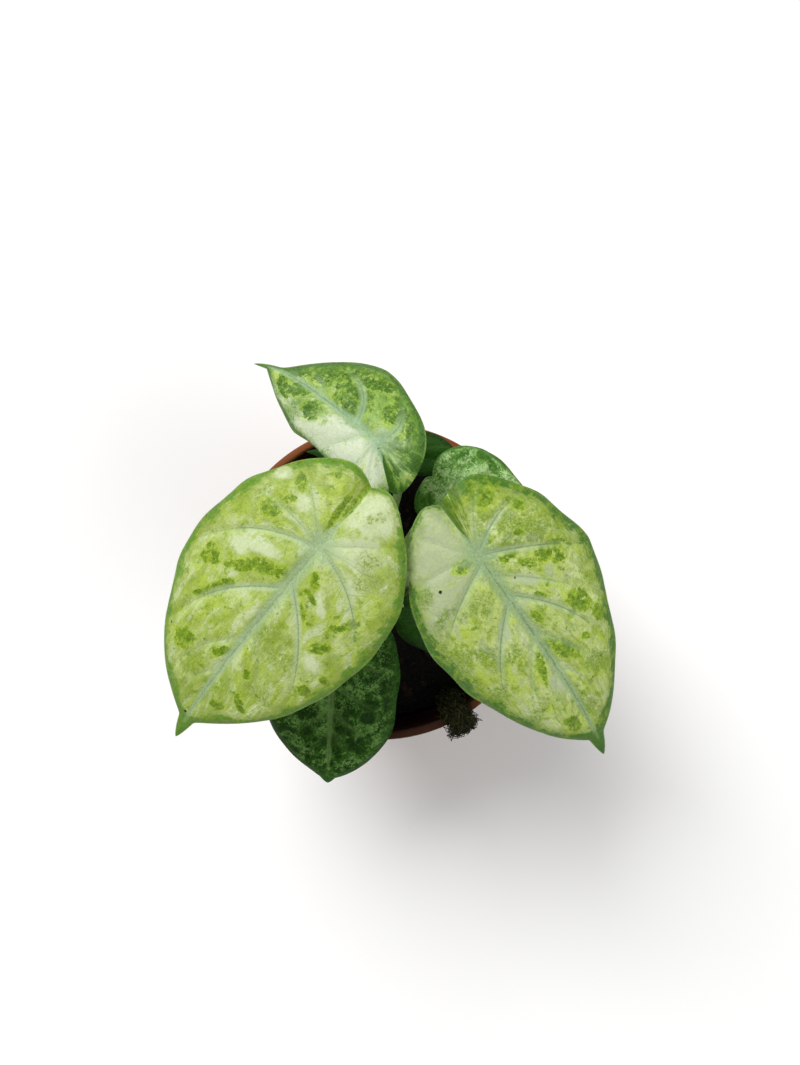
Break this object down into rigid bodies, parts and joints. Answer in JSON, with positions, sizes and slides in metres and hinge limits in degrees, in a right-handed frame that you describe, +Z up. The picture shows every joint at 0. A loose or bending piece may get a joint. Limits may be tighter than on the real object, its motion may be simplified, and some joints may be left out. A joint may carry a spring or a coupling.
{
  "type": "potted alocasia",
  "caption": "Young variegated alocasia with shield-shaped leaves on slender stalks, in a round tapered nursery pot.",
  "frame": {"origin": "centre of the pot's underside, on the pot's axis", "axes": "+Z up along the pot's axis, +Y to the back, so the picture is taken from above with its lower edge towards -Y"},
  "size_m": [0.1506, 0.1513, 0.1755],
  "materials": {
    "pot": "terracotta-coloured moulded plastic, fine matt texture",
    "soil": "dark loose potting mix of bark and fibre",
    "stem": "fleshy green-brown stem with leaf scars",
    "blade_pale": "satin leaf, lime and cream with green marbling",
    "blade_mottled": "satin leaf, dark green with mint mottling",
    "blade_dark": "satin leaf, deep plain green",
    "stalk": "smooth pale green stalk",
    "moss": "dry olive moss strands"
  },
  "bodies": {
    "root": {"pot": "pot", "soil": "soil", "stem": "stem", "blade_left": "blade_pale", "blade_right": "blade_pale", "blade_back": "blade_pale", "blade_back_right": "blade_mottled", "blade_front": "blade_mottled", "blade_inner_back": "blade_dark", "blade_inner_front": "blade_dark", "stalk_left": "stalk", "stalk_right": "stalk", "stalk_back": "stalk", "stalk_back_right": "stalk", "stalk_front": "stalk", "stalk_inner_back": "stalk", "stalk_inner_front": "stalk", "moss_tuft": "moss"}
  },
  "joints": []
}
